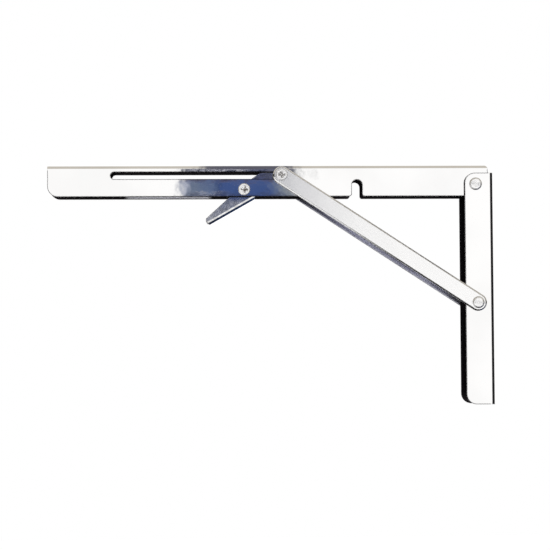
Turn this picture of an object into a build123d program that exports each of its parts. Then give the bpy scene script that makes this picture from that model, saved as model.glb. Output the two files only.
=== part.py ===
from build123d import *

# Folding shelf bracket of polished stainless sheet. A channel that carries the shelf (shelf_arm)
# hinges in a wider channel that screws to the wall (wall_arm). Two flat strut bars prop the
# shelf arm: they pivot on the wall arm, and a pin at their upper end slides in a long slot in
# the shelf arm's sides. A sprung lever inside the shelf arm holds the pin at the slot's end.
#
# Frame: millimetres, +Z up. The wall is the plane X = 0, and the bracket reaches towards -X.
# The origin is the middle of the wall screw holes, on the back face. Y = 0 is the mid-plane,
# and the front is towards -Y. The bracket is modelled open, ready to carry a shelf.

import os
from math import asin, atan2, cos, degrees, radians, sin, sqrt

# ---------------------------------------------------------------- driving dimensions
# stock and clearances
sheet = 2.0  # channels and strut bars
bend_radius = 0.5  # inside radius of a channel's folds
nest_gap = 0.3  # each side, between parts that fold past each other
pin_play = 0.05  # radial clearance of a pin or sleeve in its hole
stack_play = 0.1  # end play of pieces stacked on a rivet

# shelf arm
shelf_reach = 300.0  # wall plane to the arm's free end
arm_width = 22.0
arm_height = 21.0
arm_setback = 3.4  # wall plane to the arm's wall end
arm_tip_radius = 7.0  # lower corner at the free end
arm_heel_radius = 7.6  # lower corner at the hinge, which turns past the wall arm's web
arm_shoulder_radius = 3.0  # upper corner at the hinge

# wall arm
wall_arm_length = 156.0
wall_arm_depth = 19.4
wall_arm_corner = 6.8
wall_arm_above_hinge = 7.5

# screw holes, countersunk on the channels' inner faces
screw_hole_radius = 2.6
screw_head_radius = 4.0
screw_head_angle = 90
wall_screws = 4
wall_screw_low_margin = 10.5  # wall arm's lower end to its lowest screw
wall_screw_top_margin = 25.5  # wall arm's upper end to its highest screw
shelf_screws = 4
shelf_screw_tip_margin = 15.8  # shelf arm's free end to its outermost screw
shelf_screw_hinge_margin = 20.2  # hinge to the innermost screw

# hinge between the arms
hinge_off_wall = 12.0
hinge_below_top = 13.0
hinge_shank_radius = 2.5
hinge_sleeve_radius = 3.5
hinge_head_radius = 4.25

# strut
strut_length = 157.5  # pivot to slide pin
bar_width = 11.5
bar_chamfer = 0.8  # outer edges of the strut bars
strut_pivot_off_wall = 11.2
strut_pivot_drop = 80.0  # below the hinge
strut_shank_radius = 2.25
strut_sleeve_radius = 3.0
strut_head_radius = 4.0

# slide pin and its slot
slot_below_top = 6.8
slot_width = 4.8
slot_end_play = 0.1  # pin to the slot's end when open
slot_spare = 6.0  # slot left beyond the pin when folded
slide_neck_radius = 2.3
slide_collar_radius = 3.9
slide_flange_radius = 3.5
slide_flange = 1.0  # thickness of the bush's inner flange
slide_shank_radius = 2.0
slide_head_radius = 3.9

# notch that drops over the strut pivot when the arm is folded
notch_half_width = 3.5
notch_relief = 0.5  # deeper than the pivot needs
notch_mouth_radius = 1.6

# release lever, folded from thinner sheet
lever_sheet = 1.5
lever_bend = 0.9  # inside radius
lever_corner = 1.2
lever_washer_radius = 4.0
lever_side_gap = 1.6  # each side, between the lever and the arm
lever_behind_pin = 25.1  # from the slide pin, along the arm
lever_below_hinge = 3.2
lever_eye_radius = 5.0
lever_hole_radius = 2.75
lever_shank_radius = 2.0
lever_sleeve_radius = 2.7
lever_head_radius = 4.0
paddle_angle = 29.5  # below the arm
paddle_length = 35.4
paddle_root = (7.0, -6.4)  # inner end of the paddle's underside, from the lever's pivot
paddle_tip_depth = 4.7
paddle_shoulder = (-2.2, 2.1)  # where the paddle's upper edge runs into the eye
latch_clearance = 0.3  # latch face to the slide pin
latch_top = 13.6  # above the lever's pivot
latch_foot = 5.7
latch_throat = (10.0, 1.5)  # hollow between the latch and the paddle
ramp_start = (1.6, 5.0)  # lower end of the nose's sloping back
ramp_angle = 35.0

# lever spring, a torsion coil round the lever's sleeve
wire_radius = 0.45
wire_facets = 6
spring_radius = 3.7  # to the middle of the wire
spring_pitch = 1.1
spring_turns = 2
paddle_leg_length = 15.5  # presses on the paddle
anchor_leg_length = 11.5  # turns outward into a hole in the arm's rear side
anchor_bend = 1.3
anchor_hole_radius = 0.7
anchor_end_inset = 0.2  # spring's end, short of the arm's outer face

# rivet heads
head_height = 1.2
head_chamfer = 0.9  # hinge and strut pivots
flat_head_chamfer = 0.4  # slide pin and lever

# ---------------------------------------------------------------- sizes that follow
arm_inner = arm_width / 2 - sheet
wall_inner = arm_width / 2 + nest_gap
wall_outer = wall_inner + sheet
bar_inner = wall_outer + nest_gap
bar_outer = bar_inner + sheet
lever_width = 2 * (arm_inner - lever_side_gap)

wall_screw_span = wall_arm_length - wall_screw_low_margin - wall_screw_top_margin
wall_screw_pitch = wall_screw_span / (wall_screws - 1)
wall_arm_top = wall_screw_span / 2 + wall_screw_top_margin
wall_arm_bottom = wall_arm_top - wall_arm_length
hinge = Vector(-hinge_off_wall, 0, wall_arm_top - wall_arm_above_hinge)
shelf_top = hinge.Z + hinge_below_top
strut_pivot = Vector(-strut_pivot_off_wall, 0, hinge.Z - strut_pivot_drop)

# The strut, the arms and the slot make a triangle, open and folded.
slot_level = shelf_top - slot_below_top
rise_open = slot_level - strut_pivot.Z
pin_open = Vector(strut_pivot.X - sqrt(strut_length**2 - rise_open**2), 0, slot_level)
offset_folded = slot_level - hinge.Z + hinge_off_wall - strut_pivot_off_wall
reach_folded = strut_pivot_drop + sqrt(strut_length**2 - offset_folded**2)
pin_folded = Vector(hinge.X - reach_folded, 0, slot_level)
pin_travel = pin_open.X - pin_folded.X
strut_angle = atan2(rise_open, pin_open.X - strut_pivot.X)
strut_swing = 90 + degrees(asin(rise_open / strut_length) - asin(offset_folded / strut_length))

lever_pivot = Vector(pin_open.X - lever_behind_pin, 0, hinge.Z - lever_below_hinge)

first_shelf_screw = hinge.X - shelf_screw_hinge_margin
last_shelf_screw = shelf_screw_tip_margin - shelf_reach
shelf_screw_pitch = (first_shelf_screw - last_shelf_screw) / (shelf_screws - 1)
shelf_screw_middle = (first_shelf_screw + last_shelf_screw) / 2


# ---------------------------------------------------------------- shapes used more than once
def channel_section(width, depth, thickness=sheet, inside_radius=bend_radius):
    """A folded U of sheet, with its web's outer face on y = 0 and its mouth down."""
    with BuildSketch() as hollow:
        with Locations((0, -thickness)):
            Rectangle(width - 2 * thickness, depth, align=(Align.CENTER, Align.MAX))
        fillet(hollow.vertices().group_by(Axis.Y)[-1], inside_radius)
    with BuildSketch() as section:
        Rectangle(width, depth, align=(Align.CENTER, Align.MAX))
        fillet(section.vertices().group_by(Axis.Y)[-1], inside_radius + thickness)
        add(hollow.sketch, mode=Mode.SUBTRACT)
    return section.sketch


def turned(centre, outline):
    """A solid turned about the cross axis through centre, from points of radius and Y."""
    with BuildPart() as body:
        with BuildSketch(Plane(centre)):
            with BuildLine():
                Polyline(*outline, close=True)
            make_face()
        revolve(axis=Axis(centre, (0, 1, 0)))
    return body


def flipped(outline):
    """The same outline on the other side of the mid-plane."""
    return [(radius, -across) for radius, across in reversed(outline)]


def head(shank_radius, head_radius, face, edge):
    """Outline of a low rivet head on the rear face Y = face, with its edge chamfered."""
    crown = face + head_height
    return [
        (shank_radius, face),
        (head_radius, face),
        (head_radius, crown - edge),
        (head_radius - edge, crown),
        (0, crown),
    ]


def rivet(centre, shank_radius, head_radius, grip, edge=head_chamfer):
    """A rivet across the bracket, with a head on each face of what it grips."""
    rear = head(shank_radius, head_radius, grip / 2, edge)
    return turned(centre, rear + flipped(rear))


def sleeve(centre, outer_radius, bore_radius, low, high):
    """A plain tube across the bracket, from Y = low to Y = high."""
    section = [(bore_radius, low), (outer_radius, low), (outer_radius, high), (bore_radius, high)]
    return turned(centre, section)


def corner(sketch, end, level):
    """A corner of a side view. end is 0 or -1 for its free or wall end, level for low or high."""
    return sketch.vertices().group_by(Axis.Y)[level].sort_by(Axis.X)[end]


def centre_line(start, end):
    """Middle, length and angle of the line between two points of the side view."""
    run = end - start
    middle = (start + end) / 2
    return (middle.X, middle.Z), run.length, degrees(atan2(run.Z, run.X))


# ---------------------------------------------------------------- lever spring
# Drawn round the Z axis with its paddle leg first, then turned across the bracket.
paddle_face = lever_sheet + wire_radius + pin_play  # paddle's underside to the wire's middle
paddle_normal = Vector(sin(radians(paddle_angle)), -cos(radians(paddle_angle)))
face_distance = Vector(*paddle_root).dot(paddle_normal) - paddle_face
leg_slope = asin(face_distance / sqrt(spring_radius**2 + paddle_leg_length**2))
leg_slope -= atan2(spring_radius, paddle_leg_length)
leg_angle = paddle_angle + degrees(leg_slope) - 90
coil_turns = spring_turns + (90 - leg_angle) / 360
coil_length = spring_pitch * coil_turns
coil_place = Plane(
    origin=lever_pivot - Vector(0, coil_length / 2, 0),
    x_dir=(cos(radians(leg_angle)), 0, sin(radians(leg_angle))),
    z_dir=(0, 1, 0),
)

with BuildPart() as coil:
    with BuildLine() as spring_path:
        turns = Helix(spring_pitch, coil_length, spring_radius, lefthand=True)
        Line(turns @ 0 - (turns % 0) * paddle_leg_length, turns @ 0)
        bend_start = turns @ 1 + (turns % 1) * anchor_leg_length
        bend_end = bend_start + (turns % 1 + Vector(0, 0, 1)) * anchor_bend
        Line(turns @ 1, bend_start)
        TangentArc(bend_start, bend_end, tangent=turns % 1)
        anchor_end = arm_width / 2 - anchor_end_inset + coil_length / 2
        Line(bend_end, (bend_end.X, bend_end.Y, anchor_end))
    spring_wire = spring_path.wire()
    with BuildSketch(Plane(origin=spring_wire @ 0, z_dir=spring_wire % 0)):
        RegularPolygon(wire_radius, wire_facets)
    sweep(path=spring_wire)

with BuildPart() as lever_spring:
    with Locations(coil_place):
        add(coil.part)
anchor = coil_place.from_local_coords(bend_end)

# ---------------------------------------------------------------- shelf arm
slot_inner = pin_open + Vector(slide_neck_radius - slot_width / 2 + slot_end_play, 0, 0)
slot_outer = pin_folded - Vector(slot_spare, 0, 0)
slot_middle, slot_run, slot_angle = centre_line(slot_inner, slot_outer)
notch_x = hinge.X - strut_pivot_drop
notch_z = hinge.Z - (hinge_off_wall - strut_pivot_off_wall) + notch_relief
arm_bottom = shelf_top - arm_height
arm_middle = -(shelf_reach + arm_setback) / 2

with BuildPart() as shelf_arm:
    with BuildSketch(Plane.YZ.offset(-shelf_reach)):
        with Locations((0, shelf_top)):
            add(channel_section(arm_width, arm_height))
    extrude(amount=shelf_reach - arm_setback)
    with BuildSketch(Plane.XZ) as arm_side:
        with Locations((arm_middle, shelf_top - arm_height / 2)):
            Rectangle(shelf_reach - arm_setback, arm_height)
        with Locations((notch_x, notch_z)):
            Circle(notch_half_width, mode=Mode.SUBTRACT)
            Rectangle(
                2 * notch_half_width,
                notch_z - arm_bottom,
                align=(Align.CENTER, Align.MAX),
                mode=Mode.SUBTRACT,
            )
        notch_mouth = arm_side.vertices().group_by(Axis.Y)[0].sort_by(Axis.X)[1:3]
        fillet(notch_mouth, notch_mouth_radius)
        fillet(corner(arm_side, 0, 0), arm_tip_radius)
        fillet(corner(arm_side, -1, 0), arm_heel_radius)
        fillet(corner(arm_side, -1, -1), arm_shoulder_radius)
        with Locations(slot_middle):
            SlotCenterToCenter(slot_run, slot_width, rotation=slot_angle, mode=Mode.SUBTRACT)
        with Locations((hinge.X, hinge.Z)):
            Circle(hinge_shank_radius + pin_play, mode=Mode.SUBTRACT)
        with Locations((lever_pivot.X, lever_pivot.Z)):
            Circle(lever_shank_radius + pin_play, mode=Mode.SUBTRACT)
    extrude(amount=arm_width, both=True, mode=Mode.INTERSECT)
    with BuildSketch(Plane.XZ.offset(-arm_inner)):
        with Locations((anchor.X, anchor.Z)):
            Circle(anchor_hole_radius)
    extrude(amount=-sheet, mode=Mode.SUBTRACT)
    with Locations(Plane(origin=(shelf_screw_middle, 0, shelf_top - sheet), z_dir=(0, 0, -1))):
        with GridLocations(shelf_screw_pitch, 1, shelf_screws, 1):
            CounterSinkHole(
                screw_hole_radius, screw_head_radius, counter_sink_angle=screw_head_angle
            )

# ---------------------------------------------------------------- wall arm
with BuildPart() as wall_arm:
    with BuildSketch(Plane.XY.offset(wall_arm_bottom)):
        add(channel_section(2 * wall_outer, wall_arm_depth), rotation=-90)
    extrude(amount=wall_arm_length)
    with BuildSketch(Plane.XZ) as wall_side:
        with Locations((-wall_arm_depth / 2, (wall_arm_top + wall_arm_bottom) / 2)):
            Rectangle(wall_arm_depth, wall_arm_length)
        fillet(wall_side.vertices().group_by(Axis.X)[0], wall_arm_corner)
        with Locations((hinge.X, hinge.Z)):
            Circle(hinge_shank_radius + pin_play, mode=Mode.SUBTRACT)
        with Locations((strut_pivot.X, strut_pivot.Z)):
            Circle(strut_shank_radius + pin_play, mode=Mode.SUBTRACT)
    extrude(amount=2 * wall_outer, both=True, mode=Mode.INTERSECT)
    with Locations(Plane(origin=(-sheet, 0, 0), x_dir=(0, 0, 1), z_dir=(-1, 0, 0))):
        with GridLocations(wall_screw_pitch, 1, wall_screws, 1):
            CounterSinkHole(
                screw_hole_radius, screw_head_radius, counter_sink_angle=screw_head_angle
            )

# ---------------------------------------------------------------- strut bars
bar_middle, bar_run, bar_angle = centre_line(strut_pivot, pin_open)


def strut_bar(facing):
    """One flat bar with full-round ends. facing is 1 for the front and -1 for the rear."""
    with BuildPart() as bar:
        with BuildSketch(Plane.XZ.offset(facing * bar_inner)):
            with Locations(bar_middle):
                SlotCenterToCenter(bar_run, bar_width, rotation=bar_angle)
            with Locations((strut_pivot.X, strut_pivot.Z)):
                Circle(strut_shank_radius + pin_play, mode=Mode.SUBTRACT)
            with Locations((pin_open.X, pin_open.Z)):
                Circle(slide_shank_radius + pin_play, mode=Mode.SUBTRACT)
        extrude(amount=facing * sheet)
        outer_face = bar.faces().sort_by(Axis.Y)[0 if facing > 0 else -1]
        chamfer(outer_face.outer_wire().edges(), bar_chamfer)
    return bar


# ---------------------------------------------------------------- slide pin
# The pin turns in a bush on each side. A bush runs in the slot on its neck, with a collar that
# fills the step out to the strut bar and a flange that keeps it in the slot. The pin's ends are
# riveted in the strut bars' holes. The outlines are of the rear side.
flange_out = arm_inner - pin_play
collar_in = arm_width / 2 + pin_play
bush_outline = [
    (0, flange_out - slide_flange),
    (slide_flange_radius, flange_out - slide_flange),
    (slide_flange_radius, flange_out),
    (slide_neck_radius, flange_out),
    (slide_neck_radius, collar_in),
    (slide_collar_radius, collar_in),
    (slide_collar_radius, bar_inner - pin_play),
    (0, bar_inner - pin_play),
]
pin_end_outline = [
    (0, bar_inner + pin_play),
    (slide_shank_radius, bar_inner + pin_play),
    *head(slide_shank_radius, slide_head_radius, bar_outer, flat_head_chamfer),
]

# ---------------------------------------------------------------- release lever
# Side outline, from the lever's pivot: an eye, a paddle that hangs below the arm, and a latch
# nose whose face is an arc about the pivot, so that it swings clear of the slide pin.
paddle_run = Vector(cos(radians(paddle_angle)), sin(radians(paddle_angle)))
paddle_rise = Vector(-paddle_run.Y, paddle_run.X)
root = Vector(*paddle_root)
tip = root - paddle_run * paddle_length
tip_upper = tip + paddle_rise * paddle_tip_depth
pin_from_pivot = (pin_open - lever_pivot).length
latch_radius = pin_from_pivot - slide_neck_radius - latch_clearance
latch_top_x = sqrt(latch_radius**2 - latch_top**2)
latch_foot_x = sqrt(latch_radius**2 - latch_foot**2)
ramp_top_x = ramp_start[0] + (latch_top - ramp_start[1]) / sin(radians(ramp_angle)) * cos(
    radians(ramp_angle)
)
latch_mid_angle = (atan2(latch_top, latch_top_x) + atan2(latch_foot, latch_foot_x)) / 2
latch_middle = (latch_radius * cos(latch_mid_angle), latch_radius * sin(latch_mid_angle))
lever_place = Plane(origin=lever_pivot, x_dir=(1, 0, 0), z_dir=(0, -1, 0))

with BuildPart() as release_lever:
    with BuildSketch(lever_place) as lever_side:
        with BuildLine():
            Polyline(
                latch_throat,
                (root.X, root.Y),
                (tip.X, tip.Y),
                (tip_upper.X, tip_upper.Y),
                paddle_shoulder,
                ramp_start,
                (ramp_top_x, latch_top),
                (latch_top_x, latch_top),
            )
            ThreePointArc((latch_top_x, latch_top), latch_middle, (latch_foot_x, latch_foot))
            Line((latch_foot_x, latch_foot), latch_throat)
        make_face()
        fillet(lever_side.vertices(), lever_corner)
        Circle(lever_eye_radius)
        Circle(lever_hole_radius, mode=Mode.SUBTRACT)
    extrude(amount=lever_width, both=True)
    paddle_place = Plane(
        origin=lever_pivot + Vector(root.X, 0, root.Y),
        x_dir=(0, 1, 0),
        z_dir=(paddle_run.X, 0, paddle_run.Y),
    )
    with BuildSketch(paddle_place):
        add(channel_section(lever_width, 2 * lever_width, lever_sheet, lever_bend), rotation=180)
    extrude(amount=2 * paddle_length, both=True, mode=Mode.INTERSECT)

# ---------------------------------------------------------------- turned pieces
hinge_bore = hinge_shank_radius + pin_play
strut_bore = strut_shank_radius + pin_play
lever_bore = lever_shank_radius + pin_play
washer_bore = lever_sleeve_radius + pin_play
sleeve_end = arm_inner - stack_play
strut_sleeve_end = wall_inner - pin_play
washer_in = lever_width / 2 + stack_play

pieces = {
    "shelf_arm": shelf_arm,
    "wall_arm": wall_arm,
    "strut_bar_front": strut_bar(1),
    "strut_bar_rear": strut_bar(-1),
    "hinge_rivet": rivet(hinge, hinge_shank_radius, hinge_head_radius, 2 * wall_outer),
    "strut_rivet": rivet(strut_pivot, strut_shank_radius, strut_head_radius, 2 * bar_outer),
    "lever_rivet": rivet(
        lever_pivot, lever_shank_radius, lever_head_radius, arm_width, flat_head_chamfer
    ),
    "hinge_sleeve": sleeve(hinge, hinge_sleeve_radius, hinge_bore, -sleeve_end, sleeve_end),
    "strut_sleeve": sleeve(
        strut_pivot, strut_sleeve_radius, strut_bore, -strut_sleeve_end, strut_sleeve_end
    ),
    "lever_sleeve": sleeve(lever_pivot, lever_sleeve_radius, lever_bore, -sleeve_end, sleeve_end),
    "lever_washer_front": sleeve(
        lever_pivot, lever_washer_radius, washer_bore, -sleeve_end, -washer_in
    ),
    "lever_washer_rear": sleeve(
        lever_pivot, lever_washer_radius, washer_bore, washer_in, sleeve_end
    ),
    "slide_rivet_front": turned(pin_open, flipped(pin_end_outline)),
    "slide_rivet_rear": turned(pin_open, pin_end_outline),
    "slide_bush_front": turned(pin_open, flipped(bush_outline)),
    "slide_bush_rear": turned(pin_open, bush_outline),
    "release_lever": release_lever,
    "lever_spring": lever_spring,
}

# ---------------------------------------------------------------- files
os.makedirs("parts", exist_ok=True)
for name, piece in pieces.items():
    piece.part.label = name
    export_step(piece.part, f"parts/{name}.step")

print("slide pin travels", round(pin_travel, 4), "mm and the strut swings", round(strut_swing, 4))
print("lever pivot", lever_pivot)
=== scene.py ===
from math import atan2, cos, pi, radians, sin

import bpy
from mathutils import Matrix, Vector


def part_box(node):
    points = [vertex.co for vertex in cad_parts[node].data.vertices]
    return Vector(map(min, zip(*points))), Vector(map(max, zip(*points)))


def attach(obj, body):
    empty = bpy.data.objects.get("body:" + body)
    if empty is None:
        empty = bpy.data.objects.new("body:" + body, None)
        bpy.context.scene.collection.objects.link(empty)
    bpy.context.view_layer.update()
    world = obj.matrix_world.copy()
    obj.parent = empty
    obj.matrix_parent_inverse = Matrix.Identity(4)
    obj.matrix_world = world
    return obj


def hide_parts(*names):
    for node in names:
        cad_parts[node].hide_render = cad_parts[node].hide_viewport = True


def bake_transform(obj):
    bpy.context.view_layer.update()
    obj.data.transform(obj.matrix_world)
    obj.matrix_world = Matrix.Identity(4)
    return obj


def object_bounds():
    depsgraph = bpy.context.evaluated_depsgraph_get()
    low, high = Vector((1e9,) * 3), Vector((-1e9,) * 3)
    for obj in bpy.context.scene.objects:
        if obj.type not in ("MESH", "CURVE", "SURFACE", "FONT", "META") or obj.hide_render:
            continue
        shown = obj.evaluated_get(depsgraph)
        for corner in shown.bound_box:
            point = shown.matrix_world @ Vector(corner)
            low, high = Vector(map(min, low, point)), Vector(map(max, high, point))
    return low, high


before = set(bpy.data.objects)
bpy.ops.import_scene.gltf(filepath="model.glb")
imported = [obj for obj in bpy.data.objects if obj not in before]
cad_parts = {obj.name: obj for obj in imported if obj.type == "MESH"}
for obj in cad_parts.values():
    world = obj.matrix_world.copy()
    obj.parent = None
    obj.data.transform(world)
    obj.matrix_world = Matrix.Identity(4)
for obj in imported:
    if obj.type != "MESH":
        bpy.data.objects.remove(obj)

bl_info = {
    "name": "Folding Shelf Bracket",
    "version": (1, 0, 0),
    "blender": (4, 5, 0),
    "location": "3D View > Sidebar > Bracket",
    "description": "Finishes a folding shelf bracket of polished stainless sheet, and its studio",
    "category": "Object",
}

CAD_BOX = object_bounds()


def middle(node):
    """The middle of a CAD node's box."""
    low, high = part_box(node)
    return (low + high) / 2


# ------------------------------------------------------------------ shader expressions
class Wire:
    """An output socket that can be added, multiplied and compared like a number."""

    def __init__(self, tree, socket):
        self.tree = tree
        self.socket = socket

    def maths(self, operation, *values, clamp=False):
        node = self.tree.nodes.new("ShaderNodeMath")
        node.operation = operation
        node.use_clamp = clamp
        for place, value in enumerate(values):
            if isinstance(value, Wire):
                self.tree.links.new(value.socket, node.inputs[place])
            else:
                node.inputs[place].default_value = value
        return Wire(self.tree, node.outputs[0])

    def __add__(self, other):
        return self.maths("ADD", self, other)

    def __radd__(self, other):
        return self.maths("ADD", other, self)

    def __sub__(self, other):
        return self.maths("SUBTRACT", self, other)

    def __rsub__(self, other):
        return self.maths("SUBTRACT", other, self)

    def __mul__(self, other):
        return self.maths("MULTIPLY", self, other)

    def __truediv__(self, other):
        return self.maths("DIVIDE", self, other)

    def __pow__(self, other):
        return self.maths("POWER", self, other)

    def __abs__(self):
        return self.maths("ABSOLUTE", self)

    def clamped(self):
        return self.maths("ADD", self, 0.0, clamp=True)

    def sine(self):
        return self.maths("SINE", self)

    def least(self, other):
        return self.maths("MINIMUM", self, other)

    def greatest(self, other):
        return self.maths("MAXIMUM", self, other)


class Finish:
    """A material or world tree, filled one node at a time."""

    def __init__(self, owner):
        owner.use_nodes = True
        self.owner = owner
        self.tree = owner.node_tree
        self.tree.nodes.clear()

    def node(self, kind, inputs=None, output=0, **settings):
        """Adds a node, sets its settings first, then its inputs, and returns one output."""
        node = self.tree.nodes.new(kind)
        for name, value in settings.items():
            if name == "stops":
                self.set_stops(node.color_ramp, value)
            else:
                setattr(node, name, value)
        for name, value in (inputs or {}).items():
            if isinstance(value, Wire):
                self.tree.links.new(value.socket, node.inputs[name])
            else:
                node.inputs[name].default_value = value
        return Wire(self.tree, node.outputs[output]) if len(node.outputs) else None

    @staticmethod
    def set_stops(ramp, stops):
        while len(ramp.elements) < len(stops):
            ramp.elements.new(1.0)
        for element, (place, colour) in zip(ramp.elements, stops):
            element.position = place
            element.color = (*colour, 1.0)

    def mix(self, factor, first, second):
        """A colour between two colours."""
        return self.node(
            "ShaderNodeMix", {0: factor, 6: first, 7: second}, output=2, data_type="RGBA"
        )

    def smooth(self, value, low, high):
        """Rises smoothly from 0 at low to 1 at high."""
        return self.node(
            "ShaderNodeMapRange",
            {"Value": value, "From Min": low, "From Max": high},
            interpolation_type="SMOOTHSTEP",
        )

    def falling(self, value, low, high):
        """Falls smoothly from 1 at low to 0 at high."""
        return 1.0 - self.smooth(value, low, high)

    def between(self, value, low, high, soft):
        """1 from low to high, and 0 further out than soft."""
        return self.smooth(value, low - soft, low + soft) * self.falling(
            value, high - soft, high + soft
        )

    def parts(self, vector):
        """The X, Y and Z of a vector."""
        outputs = self.node("ShaderNodeSeparateXYZ", {"Vector": vector}).socket.node.outputs
        return [Wire(self.tree, output) for output in outputs]

    def flat(self):
        """The face's own direction, not rounded."""
        return self.node("ShaderNodeNewGeometry", output=3)


def rgba(colour):
    return (*colour, 1.0)


# ------------------------------------------------------------------ sizes and colours
class BracketFinish(bpy.types.PropertyGroup):
    """How the bracket's metals look."""

    steel: bpy.props.FloatVectorProperty(
        name="Steel",
        description="Reflected colour of the polished stainless sheet",
        subtype="COLOR",
        size=3,
        min=0.0,
        max=1.0,
        default=(0.72, 0.715, 0.71),
    )
    # Painted shade: the faces inside the channels are coloured near black, for the shade between
    # their walls.
    hollow_shade: bpy.props.FloatVectorProperty(
        name="Hollow",
        description="Reflected colour of the unpolished faces inside the channels",
        subtype="COLOR",
        size=3,
        min=0.0,
        max=1.0,
        default=(0.03, 0.026, 0.03),
    )
    # Painted reflection: a brighter stretch on the inside of the shelf arm, where its painted
    # shade gives way to a light colour.
    reflection_stretch: bpy.props.FloatVectorProperty(
        name="Rubbed stretch",
        description="Where the inside of the shelf arm is rubbed bright, from and to, along X",
        unit="LENGTH",
        size=2,
        default=(-0.248, -0.191),
    )
    # Painted reflection: the colour of that brighter stretch.
    reflection_colour: bpy.props.FloatVectorProperty(
        name="Rubbed colour",
        description="Reflected colour of that stretch",
        subtype="COLOR",
        size=3,
        min=0.0,
        max=1.0,
        default=(0.80, 0.80, 0.84),
    )
    # Painted reflection: the heights over which that brighter stretch fades out.
    reflection_height: bpy.props.FloatVectorProperty(
        name="Rubbed height",
        description="Between which heights that stretch fades out, upwards",
        unit="LENGTH",
        size=2,
        default=(0.076, 0.079),
    )
    sheet: bpy.props.FloatProperty(
        name="Sheet",
        description="Thickness of the channels' sheet",
        unit="LENGTH",
        subtype="DISTANCE",
        min=0.0005,
        default=0.002,
    )
    polish: bpy.props.FloatProperty(
        name="Polish roughness",
        description="Roughness of the polished channels, a little less than the lever's",
        subtype="FACTOR",
        min=0.0,
        max=1.0,
        default=0.022,
    )
    satin: bpy.props.FloatProperty(
        name="Satin roughness",
        description="Roughness of the strut bars, which are less polished",
        subtype="FACTOR",
        min=0.0,
        max=1.0,
        default=0.2,
    )
    bar_rounding: bpy.props.FloatProperty(
        name="Bar rounding",
        description="Rounding of the strut bars' edges, and nearly that of the rivet heads",
        unit="LENGTH",
        subtype="DISTANCE",
        min=0.0,
        default=0.0009,
    )
    edge_radius: bpy.props.FloatProperty(
        name="Edge radius",
        description="Tumbled rounding of the cut edges of the sheet",
        unit="LENGTH",
        subtype="DISTANCE",
        min=0.0,
        default=0.0003,
    )
    # Painted shade: the width of the dark line painted along the sheet's sharp edges.
    edge_shade_width: bpy.props.FloatProperty(
        name="Cut line",
        description="Width of the dark line that the shears left along an edge of the sheet",
        unit="LENGTH",
        subtype="DISTANCE",
        min=0.0,
        default=0.0009,
    )
    wave_depth: bpy.props.FloatProperty(
        name="Wave depth",
        description="Depth of the slow waves that rolling and buffing leave in the sheet",
        unit="LENGTH",
        subtype="DISTANCE",
        min=0.0,
        default=0.00004,
    )
    punch_radius: bpy.props.FloatProperty(
        name="Punch radius",
        description="Reach of the cross that the riveting punch leaves on a head",
        unit="LENGTH",
        subtype="DISTANCE",
        min=0.0001,
        default=0.0028,
    )
    turned_ring: bpy.props.FloatProperty(
        name="Turned ring",
        description="Distance between the rings that riveting leaves on a rivet head",
        unit="LENGTH",
        subtype="DISTANCE",
        min=0.0001,
        default=0.0011,
    )


class BracketPin(bpy.types.PropertyGroup):
    """The pin that crosses the shelf arm between the two bushes."""

    radius: bpy.props.FloatProperty(
        name="Radius",
        description="Radius of the crossing pin",
        unit="LENGTH",
        subtype="DISTANCE",
        min=0.0005,
        default=0.0022,
    )
    edge: bpy.props.FloatProperty(
        name="Edge",
        description="Rounding where the pin meets a bush",
        unit="LENGTH",
        subtype="DISTANCE",
        min=0.0,
        default=0.0003,
    )
    sides: bpy.props.IntProperty(
        name="Sides",
        description="Sides of the round pin",
        min=6,
        default=48,
    )


class BracketSpring(bpy.types.PropertyGroup):
    """The torsion spring that holds the release lever up."""

    wire: bpy.props.FloatProperty(
        name="Wire radius",
        description="Radius of the spring wire",
        unit="LENGTH",
        subtype="DISTANCE",
        min=0.0001,
        default=0.00045,
    )
    coil: bpy.props.FloatProperty(
        name="Coil radius",
        description="Radius of the coil, to the middle of its wire",
        unit="LENGTH",
        subtype="DISTANCE",
        min=0.001,
        default=0.0037,
    )
    pitch: bpy.props.FloatProperty(
        name="Pitch",
        description="Distance between the coil's turns",
        unit="LENGTH",
        subtype="DISTANCE",
        min=0.0005,
        default=0.0011,
    )
    turns: bpy.props.IntProperty(
        name="Turns",
        description="Whole turns of the coil, beside the part turn between its legs",
        min=1,
        default=2,
    )
    paddle_leg: bpy.props.FloatProperty(
        name="Paddle leg",
        description="Length of the leg that lies on the lever's paddle",
        unit="LENGTH",
        subtype="DISTANCE",
        min=0.001,
        default=0.0155,
    )
    paddle_leg_angle: bpy.props.FloatProperty(
        name="Paddle leg angle",
        description="Angle of the paddle leg, below the shelf arm",
        unit="ROTATION",
        subtype="ANGLE",
        default=radians(42.2),
    )
    anchor_leg: bpy.props.FloatProperty(
        name="Anchor leg",
        description="Length of the leg that runs to the hole in the shelf arm",
        unit="LENGTH",
        subtype="DISTANCE",
        min=0.001,
        default=0.0115,
    )
    anchor_bend: bpy.props.FloatProperty(
        name="Anchor bend",
        description="Radius of the bend into that hole",
        unit="LENGTH",
        subtype="DISTANCE",
        min=0.0005,
        default=0.0013,
    )
    sides: bpy.props.IntProperty(
        name="Wire sides",
        description="Sides of the round wire",
        min=6,
        default=12,
    )


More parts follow.
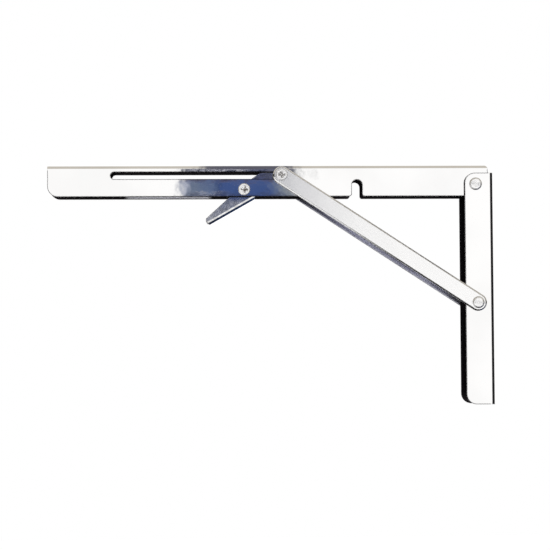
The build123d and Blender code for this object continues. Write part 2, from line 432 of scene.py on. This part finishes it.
class BracketStudio(bpy.types.PropertyGroup):
    """The floor, the light and the camera."""

    floor_drop: bpy.props.FloatProperty(
        name="Floor drop",
        description="How far the floor lies below the bracket",
        unit="LENGTH",
        subtype="DISTANCE",
        min=0.0,
        default=0.42,
    )
    panel: bpy.props.FloatProperty(
        name="Panel strength",
        description="Brightness of the white panels that the metal reflects",
        min=0.0,
        default=1.39,
    )
    side_colour: bpy.props.FloatVectorProperty(
        name="Side colour",
        description="What the metal reflects beside the bracket",
        subtype="COLOR",
        size=3,
        min=0.0,
        max=1.0,
        default=(0.022, 0.021, 0.022),
    )
    overhead_colour: bpy.props.FloatVectorProperty(
        name="Overhead colour",
        description="What the metal reflects above the bracket",
        subtype="COLOR",
        size=3,
        min=0.0,
        max=1.0,
        default=(0.78, 0.735, 0.655),
    )
    beam_colour: bpy.props.FloatVectorProperty(
        name="Beam colour",
        description="A dark beam that runs overhead from the room behind the lens",
        subtype="COLOR",
        size=3,
        min=0.0,
        max=1.0,
        default=(0.15, 0.15, 0.19),
    )
    floor_shade: bpy.props.FloatVectorProperty(
        name="Floor shade",
        description="What the metal reflects below the bracket",
        subtype="COLOR",
        size=3,
        min=0.0,
        max=1.0,
        default=(0.018, 0.045, 0.13),
    )
    lamp_place: bpy.props.FloatVectorProperty(
        name="Lamp place",
        description="Where the lamp overhead hangs",
        unit="LENGTH",
        size=3,
        default=(-0.15, -0.2, 1.2),
    )
    lamp_size: bpy.props.FloatProperty(
        name="Lamp size",
        description="Side of the square lamp overhead",
        unit="LENGTH",
        subtype="DISTANCE",
        min=0.01,
        default=1.0,
    )
    lamp_power: bpy.props.FloatProperty(
        name="Lamp power",
        description="Power of the lamp overhead",
        unit="POWER",
        min=0.0,
        default=6.0,
    )
    stand: bpy.props.FloatVectorProperty(
        name="Camera stand",
        description="Where the camera stands, low and to the left",
        unit="LENGTH",
        size=3,
        default=(-0.19212, -1.15046, -0.03312),
    )
    aim: bpy.props.FloatVectorProperty(
        name="Camera aim",
        description="What the camera looks at, in the middle of the triangle",
        unit="LENGTH",
        size=3,
        default=(-0.14728, 0.0, 0.01752),
    )
    roll: bpy.props.FloatProperty(
        name="Camera roll",
        description="Turn of the camera about its own axis",
        unit="ROTATION",
        subtype="ANGLE",
        default=radians(-0.341),
    )
    lens: bpy.props.FloatProperty(
        name="Focal length",
        description="Focal length of the camera, in millimetres",
        min=10.0,
        default=111.27,
    )


# Where the floor's reflection changes, from and to: its near and left limits along Y and X, and
# where it turns from dark to blue along X.
FLOOR_HALF = 3.0
FLOOR_NEAR = (-0.8, -0.55)
FLOOR_LEFT = (-0.44, -0.39)
FLOOR_BLUE = (0.1, 0.2)

# Where the reflected surroundings change, from and to, in parts of a direction of length 1.
WINDOW_EDGE = (0.34, 0.42)
WINDOW_AHEAD = (0.0, 0.2)
PANEL_BEHIND = (0.4, 0.55)
OVERHEAD = (0.1, 0.3)
BEAM_LEFT, BEAM_RIGHT = (-0.008, 0.0), (0.044, 0.056)
BEAM_UP, BEAM_AHEAD = (0.12, 0.16), (-0.7, -0.4)

# The card that the shelf arm mirrors round the lens: its place along Y, and its sides along X
# and Z.
ROOM_PLACE = -1.2
ROOM_ACROSS, ROOM_HEIGHT = (-0.32, 0.02), (0.10, 0.45)
# X of the edges of what is drawn on it, and its colours from left to right.
ROOM_LEFT, ROOM_RIGHT = -0.236, -0.0665
ROOM_BANDS = (
    (0.0, (0.40, 0.41, 0.44)),
    (0.075, (0.60, 0.64, 0.78)),
    (0.13, (0.18, 0.23, 0.34)),
    (0.28, (0.13, 0.19, 0.35)),
    (0.33, (0.05, 0.09, 0.23)),
    (0.38, (0.066, 0.12, 0.33)),
    (0.73, (0.066, 0.12, 0.33)),
    (0.82, (0.15, 0.20, 0.34)),
    (0.90, (0.26, 0.30, 0.36)),
    (1.0, (0.34, 0.36, 0.38)),
)
# Its level streaks: lower and upper height, colour, and how far they cover the colours above.
ROOM_STREAKS = (
    (0.2165, 0.50, (0.16, 0.155, 0.20), 0.9),
    (0.2140, 0.2165, (0.25, 0.26, 0.36), 0.8),
    (0.2060, 0.2138, (0.012, 0.016, 0.03), 0.96),
    (0.1990, 0.2060, (0.11, 0.10, 0.16), 0.8),
    (0.1955, 0.1990, (0.13, 0.17, 0.36), 0.6),
    (0.05, 0.1800, (0.06, 0.065, 0.11), 0.6),
)
# Where light flecks break them: lower and upper height, left and right edge, and how much.
ROOM_FLECKS = (
    (0.2138, 0.2162, -0.2195, -0.14, 1.0),
    (0.1792, 0.1812, -0.2085, -0.172, 0.55),
)
# The smear right of its edge: lower and upper height.
ROOM_SMEAR = (0.203, 0.2155)
HAZE_COLOUR = (0.5, 0.54, 0.6)
FLECK_COLOUR = (1.3, 1.3, 1.4)


# ------------------------------------------------------------------ metals
# Painted shade: the near-black colour of the sheet's cut faces and of the dark lines along sharp
# edges.
EDGE_SHADE_COLOUR = (0.02, 0.018, 0.02)
# Painted shade in the punch marks on the rivet heads.
PUNCH_SHADE_COLOUR = (0.10, 0.09, 0.09)
SPRING_COLOUR = (0.42, 0.43, 0.45)
# Painted shade on the strut bars' inner faces, streaked between these two colours along the grain.
BAR_SHADE_DARK, BAR_SHADE_LIGHT = (0.24, 0.24, 0.30), (0.72, 0.72, 0.80)
FINISH_EDGE = 0.0002  # over which the finish inside a channel gives way to the one outside


def rounded_normal(finish, radius, samples=6):
    """The surface's direction, with its sharp edges rounded."""
    return finish.node("ShaderNodeBevel", {"Radius": radius}, samples=samples)


def edge_line(finish, width):
    """1 along a sharp edge, where a rounded direction leaves the face's own, and 0 elsewhere."""
    rounded = rounded_normal(finish, width)
    agree = finish.node(
        "ShaderNodeVectorMath",
        {0: rounded, 1: finish.flat()},
        output=1,
        operation="DOT_PRODUCT",
    )
    return finish.smooth(1.0 - agree, 0.0004, 0.01)


def metal(name, colour, roughness, edge_radius, bump=None, line=None):
    """A metal with rounded edges.

    colour and roughness are values, or get the tree and the place and return a wire. So does
    line, for the painted shade along sharp edges, and bump, for a height, its strength and its
    depth.
    """
    finish = Finish(bpy.data.materials.new(name))
    place = finish.node("ShaderNodeTexCoord", output=3)
    normal = rounded_normal(finish, edge_radius)
    base = colour(finish, place) if callable(colour) else rgba(colour)
    # Painted shade: darken the colour along the sharp edges.
    if line:
        base = finish.mix(line(finish, place), base, rgba(EDGE_SHADE_COLOUR))
    if bump:
        height, strength, depth = bump(finish, place)
        normal = finish.node(
            "ShaderNodeBump",
            {"Height": height, "Strength": strength, "Distance": depth, "Normal": normal},
        )
    surface = {
        "Base Color": base,
        "Metallic": 1.0,
        "Roughness": roughness(finish, place) if callable(roughness) else roughness,
        "Normal": normal,
    }
    shader = finish.node("ShaderNodeBsdfPrincipled", surface)
    finish.node("ShaderNodeOutputMaterial", {"Surface": shader})
    return finish.owner


def stretched(finish, place, scale):
    """Coordinates stretched for a grain."""
    return finish.node("ShaderNodeMapping", {"Vector": place, "Scale": scale})


def noise(finish, place, scale, detail=3.0, roughness=0.5):
    return finish.node(
        "ShaderNodeTexNoise",
        {"Vector": place, "Scale": scale, "Detail": detail, "Roughness": roughness},
    )


def hollow_side(finish, place, looks, node, web):
    """1 on the faces inside a channel, and 0 outside. web is the axis that its web faces."""
    parts = finish.parts(place)
    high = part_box(node)[1]
    side, back = high.y - looks.sheet, high[web] - looks.sheet
    between = finish.falling(abs(parts[1]), side, side + FINISH_EDGE)
    return between * finish.falling(parts[web], back, back + FINISH_EDGE)


def cut_side(finish, place, looks, node, web):
    """1 on the sheared ends of a channel's sides, and 0 elsewhere."""
    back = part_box(node)[1][web] - looks.sheet
    along = finish.falling(abs(finish.parts(finish.flat())[1]), 0.1, 0.3)
    return along * finish.falling(finish.parts(place)[web], back - 0.001, back)


def polished_sheet(looks, node, web):
    """Mirror-polished stainless sheet: faint waves from rolling, and hairlines from the buff."""
    scratch = (0.05, 1.0, 1.0) if web == 2 else (1.0, 1.0, 0.05)

    def bump(finish, place):
        waves = noise(finish, place, 45.0, 3.0, 0.6)
        hairlines = noise(finish, stretched(finish, place, scratch), 2600.0, 2.0)
        return waves + hairlines * 0.02, 1.0, looks.wave_depth

    def smears(finish, place):
        cloud = noise(finish, place, 38.0, 4.0)
        hairlines = noise(finish, stretched(finish, place, scratch), 1900.0, 3.0)
        shine = looks.polish + cloud * 0.015 + finish.smooth(hairlines, 0.6, 0.8) * 0.02
        shine = shine + cut_side(finish, place, looks, node, web) * 0.8
        return shine + hollow_side(finish, place, looks, node, web) * 0.25

    def tone(finish, place):
        cloud = noise(finish, place, 21.0, 3.0)
        dull_and_painted_shade = tuple(value * 0.95 for value in looks.steel)
        outside = finish.mix(finish.smooth(cloud, 0.35, 0.7), rgba(looks.steel), rgba(dull_and_painted_shade))
        # Painted shade: the cut faces of the channel's sides are coloured near black.
        outside = finish.mix(
            cut_side(finish, place, looks, node, web), outside, rgba(EDGE_SHADE_COLOUR)
        )
        # Painted shade: the faces inside the channel take the near-black hollow colour.
        inside = hollow_side(finish, place, looks, node, web)
        # Painted reflection: a brighter stretch along X, low on the inside of the shelf arm.
        across, _, up = finish.parts(place)
        low = finish.falling(up, *looks.reflection_height)
        reflection_stretch = finish.between(across, *looks.reflection_stretch, 0.002) * low
        hollow_shade = finish.mix(reflection_stretch, rgba(looks.hollow_shade), rgba(looks.reflection_colour))
        return finish.mix(inside, outside, hollow_shade)

    # Painted shade: a dark line along the sheet's sharp edges, away from the web.
    def line(finish, place):
        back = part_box(node)[1][web] - looks.sheet * 1.5
        before = finish.falling(finish.parts(place)[web], back - 0.0005, back)
        return edge_line(finish, looks.edge_shade_width) * before

    return metal("polished " + node, tone, smears, looks.edge_radius, bump, line)


def satin_bar(looks, along, node):
    """Satin stainless bar, with a fine grain along its length, and painted shade, streaked along
    the grain, on its inner face.
    """
    inward = 1.0 if middle(node).y < 0.0 else -1.0

    def turned(finish, place, scale):
        level = finish.node(
            "ShaderNodeMapping", {"Vector": place, "Rotation": (0.0, along, 0.0)}
        )
        return stretched(finish, level, scale)

    def inner(finish):
        return finish.smooth(finish.parts(finish.flat())[1] * inward, 0.5, 0.9)

    def bump(finish, place):
        grain = noise(finish, turned(finish, place, (0.04, 1.0, 1.0)), 2400.0, 3.0)
        waves = noise(finish, place, 70.0, 2.0)
        return waves + grain * 0.06, 1.0, looks.wave_depth

    def smears(finish, place):
        grain = noise(finish, turned(finish, place, (0.05, 1.0, 1.0)), 1500.0, 3.0)
        cloud = noise(finish, place, 60.0, 3.0)
        return looks.satin - 0.05 + grain * 0.06 + cloud * 0.05

    def tone(finish, place):
        streaks = noise(finish, turned(finish, place, (0.03, 1.0, 1.0)), 420.0, 3.0, 0.6)
        streaks = finish.smooth(streaks, 0.38, 0.62)
        # Painted shade: the inner face, which looks at the other bar, is darkened and streaked
        # along the grain.
        dull_and_painted_shade = finish.mix(streaks, rgba(BAR_SHADE_DARK), rgba(BAR_SHADE_LIGHT))
        return finish.mix(inner(finish), rgba(looks.steel), dull_and_painted_shade)

    # Painted shade: a dark line along the bar's rounded edges.
    def line(finish, place):
        return edge_line(finish, looks.bar_rounding * 0.5)

    return metal("satin " + node, tone, smears, looks.bar_rounding, bump, line)


def pressed_lever(looks):
    """The lever's thinner sheet, bright inside the arm and clouded by fingers below it."""
    arm_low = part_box("shelf_arm")[0].z

    def handled(finish, place):
        return finish.falling(finish.parts(place)[2], arm_low - 0.004, arm_low + 0.001)

    def bump(finish, place):
        cloud = noise(finish, place, 160.0, 3.0)
        pits = noise(finish, place, 900.0, 2.0)
        return cloud * 0.6 + pits * 0.05 * handled(finish, place), 1.0, looks.wave_depth

    def smears(finish, place):
        cloud = noise(finish, place, 300.0, 3.0, 0.7)
        return looks.polish + 0.03 + handled(finish, place) * (0.03 + cloud * 0.09)

    def tone(finish, place):
        cloud = noise(finish, place, 340.0, 3.0, 0.7)
        dull_and_painted_shade = tuple(value * 0.72 for value in looks.steel)
        cloudy = finish.mix(finish.smooth(cloud, 0.42, 0.6), rgba(dull_and_painted_shade), rgba(looks.steel))
        return finish.mix(handled(finish, place), rgba(looks.steel), cloudy)

    # Painted shade: a dark line along the lever's sharp edges.
    def line(finish, place):
        return edge_line(finish, looks.edge_shade_width * 0.6)

    return metal("pressed lever", tone, smears, looks.edge_radius * 2.0, bump, line)


def turned_head(looks, node, punch):
    """Bright turned steel with rings about the rivet's axis. punch is how deep its marks are."""
    centre = middle(node)

    def polar(finish, place):
        """Across and up from the rivet's axis, and the distance from it."""
        offset = finish.node("ShaderNodeVectorMath", {0: place, 1: centre}, operation="SUBTRACT")
        across, _, up = finish.parts(offset)
        return across, up, (across * across + up * up) ** 0.5

    def marks(finish, place):
        """A ragged cross, left by the riveting punch."""
        across, up, distance = polar(finish, place)
        shift = noise(finish, place, 620.0, 2.0, 0.6) - 0.5
        across, up = across + shift * 0.0045, up - shift * 0.0035
        arm = abs(across).least(abs(up))
        near = finish.falling(distance, looks.punch_radius * 0.75, looks.punch_radius)
        broken = finish.smooth(noise(finish, place, 1300.0, 2.0), 0.36, 0.5)
        return finish.falling(arm, 0.0004, 0.0009) * near * broken

    def bump(finish, place):
        distance = polar(finish, place)[2]
        rings = (distance * (2 * pi / looks.turned_ring)).sine()
        fine = (distance * (2 * pi / (looks.turned_ring * 0.23))).sine()
        height = rings * 0.25 + fine * 0.08 + noise(finish, place, 900.0, 2.0) * 0.25
        return height - marks(finish, place) * (1.5 * punch), 0.5, 0.00012

    def tone(finish, place):
        # Painted shade: the punch marks are darkened, as their hollows look in shade.
        punch_shade = marks(finish, place) * punch
        return finish.mix(punch_shade.clamped(), rgba(looks.steel), rgba(PUNCH_SHADE_COLOUR))

    def smears(finish, place):
        """Duller on the head's rim, which the punch doesn't burnish."""
        facing = abs(finish.parts(finish.flat())[1])
        return 0.55 - finish.smooth(facing, 0.75, 0.95) * 0.38

    return metal("turned " + node, tone, smears, looks.bar_rounding * 0.7, bump)


def spring_steel():
    """Drawn spring wire, darker than the sheet."""

    def bump(finish, place):
        return noise(finish, place, 1500.0, 3.0), 0.3, 0.0001

    return metal("spring wire", SPRING_COLOUR, 0.28, 0.0, bump)


def give(obj, material):
    """Puts one material in all of an object's slots."""
    if not obj.material_slots:
        obj.data.materials.append(material)
    for slot in obj.material_slots:
        slot.material = material


# ------------------------------------------------------------------ operators
class BRACKET_OT_sheet(bpy.types.Operator):
    """Polish the two channels"""

    bl_idname = "bracket.sheet"
    bl_label = "Polish Sheet"

    def execute(self, context):
        looks = context.scene.bracket_finish
        for name, web in (("shelf_arm", 2), ("wall_arm", 0)):
            give(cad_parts[name], polished_sheet(looks, name, web))
        return {"FINISHED"}


class BRACKET_OT_lever(bpy.types.Operator):
    """Finish the release lever"""

    bl_idname = "bracket.lever"
    bl_label = "Release Lever"

    def execute(self, context):
        give(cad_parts["release_lever"], pressed_lever(context.scene.bracket_finish))
        return {"FINISHED"}


class BRACKET_OT_strut(bpy.types.Operator):
    """Give the strut bars their satin grain"""

    bl_idname = "bracket.strut"
    bl_label = "Satin Strut"

    def execute(self, context):
        low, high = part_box("strut_bar_front")
        along = atan2(high.z - low.z, high.x - low.x)
        for name in ("strut_bar_front", "strut_bar_rear"):
            give(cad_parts[name], satin_bar(context.scene.bracket_finish, -along, name))
        return {"FINISHED"}


class BRACKET_OT_rivets(bpy.types.Operator):
    """Turn the rivets, bushes, sleeves and washers"""

    bl_idname = "bracket.rivets"
    bl_label = "Turned Rivets"

    def execute(self, context):
        looks = context.scene.bracket_finish
        turned = {
            "hinge_rivet": (0.1, "hinge_sleeve"),
            "strut_rivet": (0.15, "strut_sleeve"),
            "lever_rivet": (1.2, "lever_sleeve", "lever_washer_front", "lever_washer_rear"),
            "slide_rivet_front": (0.85, "slide_rivet_rear", "slide_bush_front", "slide_bush_rear"),
        }
        for rivet, (punch, *others) in turned.items():
            bright = turned_head(looks, rivet, punch)
            for name in (rivet, *others):
                give(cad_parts[name], bright)
        return {"FINISHED"}


class BRACKET_OT_slide_pin(bpy.types.Operator):
    """Add the pin that crosses the shelf arm between the slide bushes"""

    bl_idname = "bracket.slide_pin"
    bl_label = "Slide Pin"

    def execute(self, context):
        pin = context.scene.bracket_pin
        front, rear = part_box("slide_bush_front"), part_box("slide_bush_rear")
        centre = middle("slide_bush_front")
        start = Vector((centre.x, front[1].y, centre.z))
        length = rear[0].y - front[1].y
        sides = pin.sides
        rings = [
            (0.0, pin.radius - pin.edge),
            (pin.edge, pin.radius),
            (length - pin.edge, pin.radius),
            (length, pin.radius - pin.edge),
        ]
        points = [
            start + Vector((cos(turn) * radius, along, sin(turn) * radius))
            for along, radius in rings
            for turn in (2 * pi * step / sides for step in range(sides))
        ]
        faces = [
            (
                ring * sides + step,
                (ring + 1) * sides + step,
                (ring + 1) * sides + (step + 1) % sides,
                ring * sides + (step + 1) % sides,
            )
            for ring in range(len(rings) - 1)
            for step in range(sides)
        ]
        faces.append(tuple(range(sides)))
        faces.append(tuple(reversed(range((len(rings) - 1) * sides, len(rings) * sides))))
        mesh = bpy.data.meshes.new("slide_pin")
        mesh.from_pydata(points, [], faces)
        mesh.validate()
        piece = bpy.data.objects.new("slide_pin_cross", mesh)
        context.scene.collection.objects.link(piece)
        mesh.polygons.foreach_set("use_smooth", [len(face) == 4 for face in faces])
        give(piece, metal("ground pin", context.scene.bracket_finish.steel, 0.1, 0.0))
        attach(piece, "slide_pin")
        return {"FINISHED"}


class BRACKET_OT_lever_spring(bpy.types.Operator):
    """Wind the lever spring, a torsion spring between the shelf arm and the lever"""

    bl_idname = "bracket.lever_spring"
    bl_label = "Lever Spring"

    def execute(self, context):
        sizes = context.scene.bracket_spring
        centre = middle("lever_sleeve")
        route, length = self.route(sizes, centre)
        curve = bpy.data.curves.new("lever_spring_route", "CURVE")
        curve.dimensions = "3D"
        spline = curve.splines.new("POLY")
        spline.points.add(len(route) - 1)
        for point, place in zip(spline.points, route):
            point.co = (*place, 1.0)
        source = bpy.data.objects.new("lever_spring_route", curve)
        context.scene.collection.objects.link(source)
        material = spring_steel()
        drawn = source.modifiers.new("Wire", "NODES")
        drawn.node_group = self.wire_tree(material)
        for item in drawn.node_group.interface.items_tree:
            if item.name == "Radius":
                drawn[item.identifier] = sizes.wire
            elif item.name == "Sides":
                drawn[item.identifier] = sizes.sides
        graph = context.evaluated_depsgraph_get()
        mesh = bpy.data.meshes.new_from_object(source.evaluated_get(graph))
        mesh.name = "lever_spring_wire"
        bpy.data.objects.remove(source)
        spring = bpy.data.objects.new("lever_spring_wire", mesh)
        context.scene.collection.objects.link(spring)
        give(spring, material)
        half = Vector((0.0, length / 2, 0.0))
        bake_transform(spring)
        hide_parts("lever_spring")
        return {"FINISHED"}

    def route(self, sizes, centre):
        """The middle of the wire from the paddle to the arm's hole, and the coil's length."""
        first = sizes.paddle_leg_angle - pi / 2
        turn = sizes.turns * 2 * pi + pi / 2 - first
        length = sizes.pitch * turn / (2 * pi)
        steps = 28 * (sizes.turns + 1)

        def at(part):
            angle = first + turn * part
            return centre + Vector(
                (sizes.coil * cos(angle), length * (part - 0.5), sizes.coil * sin(angle))
            )

        coil = [at(step / steps) for step in range(steps + 1)]
        start = (at(0.001) - at(0.0)).normalized()
        end = (at(1.0) - at(0.999)).normalized()
        outward = Vector((0.0, 1.0, 0.0))
        corner = coil[-1] + end * sizes.anchor_leg
        bend = [
            corner + (end * sin(angle) + outward * (1 - cos(angle))) * sizes.anchor_bend
            for angle in (pi / 2 * step / 8 for step in range(9))
        ]
        tip = bend[-1].copy()
        tip.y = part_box("lever_spring")[1].y
        leg = [coil[0] - start * sizes.paddle_leg]
        return leg + coil + bend + [tip], length

    def wire_tree(self, material):
        """A round wire along the route. Inputs: Radius and Sides."""
        tree = bpy.data.node_groups.new("Spring wire", "GeometryNodeTree")
        interface = tree.interface
        interface.new_socket("Geometry", in_out="INPUT", socket_type="NodeSocketGeometry")
        radius = interface.new_socket("Radius", in_out="INPUT", socket_type="NodeSocketFloat")
        sides = interface.new_socket("Sides", in_out="INPUT", socket_type="NodeSocketInt")
        radius.default_value, radius.min_value = 0.00045, 0.0
        sides.default_value, sides.min_value = 12, 3
        interface.new_socket("Geometry", in_out="OUTPUT", socket_type="NodeSocketGeometry")
        nodes, link = tree.nodes, tree.links.new
        given = nodes.new("NodeGroupInput")
        ring = nodes.new("GeometryNodeCurvePrimitiveCircle")
        link(given.outputs["Sides"], ring.inputs["Resolution"])
        link(given.outputs["Radius"], ring.inputs["Radius"])
        swept = nodes.new("GeometryNodeCurveToMesh")
        swept.inputs["Fill Caps"].default_value = True
        link(given.outputs["Geometry"], swept.inputs["Curve"])
        link(ring.outputs["Curve"], swept.inputs["Profile Curve"])
        smooth = nodes.new("GeometryNodeSetShadeSmooth")
        link(swept.outputs["Mesh"], smooth.inputs["Geometry"])
        whole = nodes.new("GeometryNodeRealizeInstances")
        link(smooth.outputs["Geometry"], whole.inputs["Geometry"])
        painted = nodes.new("GeometryNodeSetMaterial")
        painted.inputs["Material"].default_value = material
        link(whole.outputs["Geometry"], painted.inputs["Geometry"])
        result = nodes.new("NodeGroupOutput")
        link(painted.outputs["Geometry"], result.inputs["Geometry"])
        return tree


class BRACKET_OT_studio(bpy.types.Operator):
    """Set the floor, the light and the camera"""

    bl_idname = "bracket.studio"
    bl_label = "Studio"

    def execute(self, context):
        studio = context.scene.bracket_studio
        self.add_floor(context, studio)
        self.add_world(context, studio)
        self.add_room(context)
        self.add_lamp(context, studio)
        self.add_camera(context, studio)
        return {"FINISHED"}

    def add_plane(self, context, name, corners, material):
        mesh = bpy.data.meshes.new(name)
        mesh.from_pydata(corners, [], [(0, 1, 2, 3)])
        piece = bpy.data.objects.new(name, mesh)
        context.scene.collection.objects.link(piece)
        give(piece, material)
        return piece

    def add_floor(self, context, studio):
        """A pale floor, white to the camera but for the bracket's shadow."""
        level = CAD_BOX[0][2] - studio.floor_drop
        half = FLOOR_HALF
        finish = Finish(bpy.data.materials.new("studio floor"))
        rays = finish.node("ShaderNodeLightPath").socket.node.outputs
        lit = finish.node("ShaderNodeBsdfDiffuse", {"Color": (0.9, 0.9, 0.9, 1.0)})
        white = finish.node("ShaderNodeEmission", {"Strength": 1.06})
        seen = finish.node("ShaderNodeMixShader", {0: 0.75, 1: lit, 2: white})
        across, along, _ = finish.parts(finish.node("ShaderNodeTexCoord", output=3))
        blue = finish.smooth(across, *FLOOR_BLUE)
        below = finish.mix(blue, rgba(studio.side_colour), rgba(studio.floor_shade))
        pale = rgba((studio.panel,) * 3)
        under = finish.smooth(along, *FLOOR_NEAR) * finish.smooth(across, *FLOOR_LEFT)
        shade = finish.node("ShaderNodeEmission", {"Color": finish.mix(under, pale, below)})
        other = finish.node(
            "ShaderNodeMixShader",
            {0: Wire(finish.tree, rays["Is Glossy Ray"]), 1: lit, 2: shade},
        )
        surface = finish.node(
            "ShaderNodeMixShader",
            {0: Wire(finish.tree, rays["Is Camera Ray"]), 1: other, 2: seen},
        )
        finish.node("ShaderNodeOutputMaterial", {"Surface": surface})
        corners = [(-half, -half, level), (half, -half, level)]
        corners += [(half, half, level), (-half, half, level)]
        self.add_plane(context, "studio_floor", corners, finish.owner)

    def add_world(self, context, studio):
        """White before and behind the bracket, and dark at its sides, for the metal to mirror."""
        world = bpy.data.worlds.new("studio")
        context.scene.world = world
        finish = Finish(world)
        rays = finish.node("ShaderNodeLightPath").socket.node.outputs
        way = finish.node("ShaderNodeTexCoord", output=0)
        right, behind, up = finish.parts(way)
        ahead = behind * -1.0
        window = finish.falling(abs(right), *WINDOW_EDGE)
        window = window * finish.falling(abs(up), *WINDOW_EDGE)
        front = window * finish.smooth(ahead, *WINDOW_AHEAD)
        panels = (front + finish.smooth(behind, *PANEL_BEHIND)).clamped()
        white = rgba((studio.panel,) * 3)
        above = finish.smooth(up, *OVERHEAD)
        around = finish.mix(above, rgba(studio.side_colour), rgba(studio.overhead_colour))
        mirrored = finish.mix(panels, around, white)
        beam = finish.smooth(right, *BEAM_LEFT) * finish.falling(right, *BEAM_RIGHT)
        beam = beam * finish.smooth(up, *BEAM_UP) * finish.smooth(ahead, *BEAM_AHEAD)
        mirrored = finish.mix(beam, mirrored, rgba(studio.beam_colour))
        glossy = Wire(finish.tree, rays["Is Glossy Ray"])
        colour = finish.mix(glossy, rgba((1.0, 1.0, 1.0)), mirrored)
        background = finish.node("ShaderNodeBackground", {"Color": colour, "Strength": 1.0})
        finish.node("ShaderNodeOutputWorld", {"Surface": background})

    def add_room(self, context):
        """A dark blue card round the lens, out of its sight, which the shelf arm mirrors."""
        finish = Finish(bpy.data.materials.new("studio room"))
        place = finish.node("ShaderNodeTexCoord", output=3)
        across, _, height = finish.parts(place)
        wobble = (noise(finish, place, 16.0, 4.0, 0.6) - 0.5) * 0.045
        position = (across + wobble - ROOM_LEFT) / (ROOM_RIGHT - ROOM_LEFT)
        bands = finish.node("ShaderNodeValToRGB", {"Fac": position}, stops=ROOM_BANDS)
        haze = noise(finish, stretched(finish, place, (1.0, 1.0, 0.2)), 210.0, 3.0, 0.6)
        outer = (abs(position - 0.45) * 2.0) ** 3.0
        pale = finish.smooth(haze, 0.45, 0.7) * (0.02 + outer * 0.6)
        colour = finish.mix(pale.clamped(), bands, rgba(HAZE_COLOUR))
        for low, high, streak, cover in ROOM_STREAKS:
            level = finish.between(height, low, high, 0.0007)
            colour = finish.mix(level * cover, colour, rgba(streak))
        flecks = noise(finish, stretched(finish, place, (0.45, 1.0, 1.0)), 650.0, 2.0)
        flecks = finish.smooth(flecks, 0.42, 0.49)
        for low, high, left, right, cover in ROOM_FLECKS:
            level = finish.between(height, low, high, 0.0006) * cover
            fleck = flecks * level * finish.between(across, left, right, 0.012)
            colour = finish.mix(fleck, colour, rgba(FLECK_COLOUR))
        inside = finish.smooth(across + wobble, ROOM_LEFT, ROOM_LEFT + 0.012)
        inside = inside * finish.falling(across + wobble, ROOM_RIGHT - 0.012, ROOM_RIGHT)
        smear = finish.between(across, ROOM_RIGHT - 0.01, ROOM_RIGHT + 0.02, 0.01)
        smear = smear * finish.between(height, *ROOM_SMEAR, 0.003) * pale.clamped()
        inside = inside.greatest(smear * 0.5)
        dark = finish.node("ShaderNodeEmission", {"Color": colour, "Strength": 1.0})
        clear = finish.node("ShaderNodeBsdfTransparent")
        surface = finish.node("ShaderNodeMixShader", {0: inside, 1: clear, 2: dark})
        finish.node("ShaderNodeOutputMaterial", {"Surface": surface})
        (left, right), (low, high) = ROOM_ACROSS, ROOM_HEIGHT
        outline = ((left, low), (right, low), (right, high), (left, high))
        corners = [(across, ROOM_PLACE, height) for across, height in outline]
        card = self.add_plane(context, "studio_room", corners, finish.owner)
        card.visible_camera = False
        card.visible_shadow = False
        card.visible_diffuse = False

    def add_lamp(self, context, studio):
        """One large soft lamp overhead, for the shadow on the floor."""
        lamp = bpy.data.lights.new("overhead", "AREA")
        lamp.shape = "SQUARE"
        lamp.size = studio.lamp_size
        lamp.energy = studio.lamp_power
        holder = bpy.data.objects.new("overhead", lamp)
        context.scene.collection.objects.link(holder)
        holder.matrix_world = Matrix.Translation(studio.lamp_place)
        holder.visible_glossy = False

    def add_camera(self, context, studio):
        """Stands low and to the left, and looks at the middle of the triangle."""
        stand, aim = Vector(studio.stand), Vector(studio.aim)
        camera = bpy.data.cameras.new("camera")
        camera.lens = studio.lens
        camera.sensor_width = 36.0
        camera.clip_start = 0.01
        holder = bpy.data.objects.new("camera", camera)
        context.scene.collection.objects.link(holder)
        turn = (aim - stand).to_track_quat("-Z", "Y").to_matrix().to_4x4()
        roll = Matrix.Rotation(studio.roll, 4, "Z")
        holder.matrix_world = Matrix.Translation(stand) @ turn @ roll
        context.scene.camera = holder
        context.scene.view_settings.view_transform = "Standard"


# ------------------------------------------------------------------ panel and registration
class BRACKET_PT_panel(bpy.types.Panel):
    """Lists the bracket's operators"""

    bl_idname = "BRACKET_PT_panel"
    bl_label = "Shelf Bracket"
    bl_space_type = "VIEW_3D"
    bl_region_type = "UI"
    bl_category = "Bracket"

    def draw(self, context):
        for operator in OPERATORS:
            self.layout.operator(operator.bl_idname)


OPERATORS = (
    BRACKET_OT_sheet,
    BRACKET_OT_lever,
    BRACKET_OT_strut,
    BRACKET_OT_rivets,
    BRACKET_OT_slide_pin,
    BRACKET_OT_lever_spring,
    BRACKET_OT_studio,
)
GROUPS = {
    "bracket_finish": BracketFinish,
    "bracket_pin": BracketPin,
    "bracket_spring": BracketSpring,
    "bracket_studio": BracketStudio,
}


def register():
    for name, group in GROUPS.items():
        bpy.utils.register_class(group)
        setattr(bpy.types.Scene, name, bpy.props.PointerProperty(type=group))
    for operator in (*OPERATORS, BRACKET_PT_panel):
        bpy.utils.register_class(operator)


def unregister():
    for operator in reversed((*OPERATORS, BRACKET_PT_panel)):
        bpy.utils.unregister_class(operator)
    for name, group in GROUPS.items():
        delattr(bpy.types.Scene, name)
        bpy.utils.unregister_class(group)


def main():
    register()
    bpy.ops.bracket.sheet()
    bpy.ops.bracket.lever()
    bpy.ops.bracket.strut()
    bpy.ops.bracket.rivets()
    bpy.ops.bracket.slide_pin()
    bpy.ops.bracket.lever_spring()
    bpy.ops.bracket.studio()


if __name__ == "__main__":
    main()
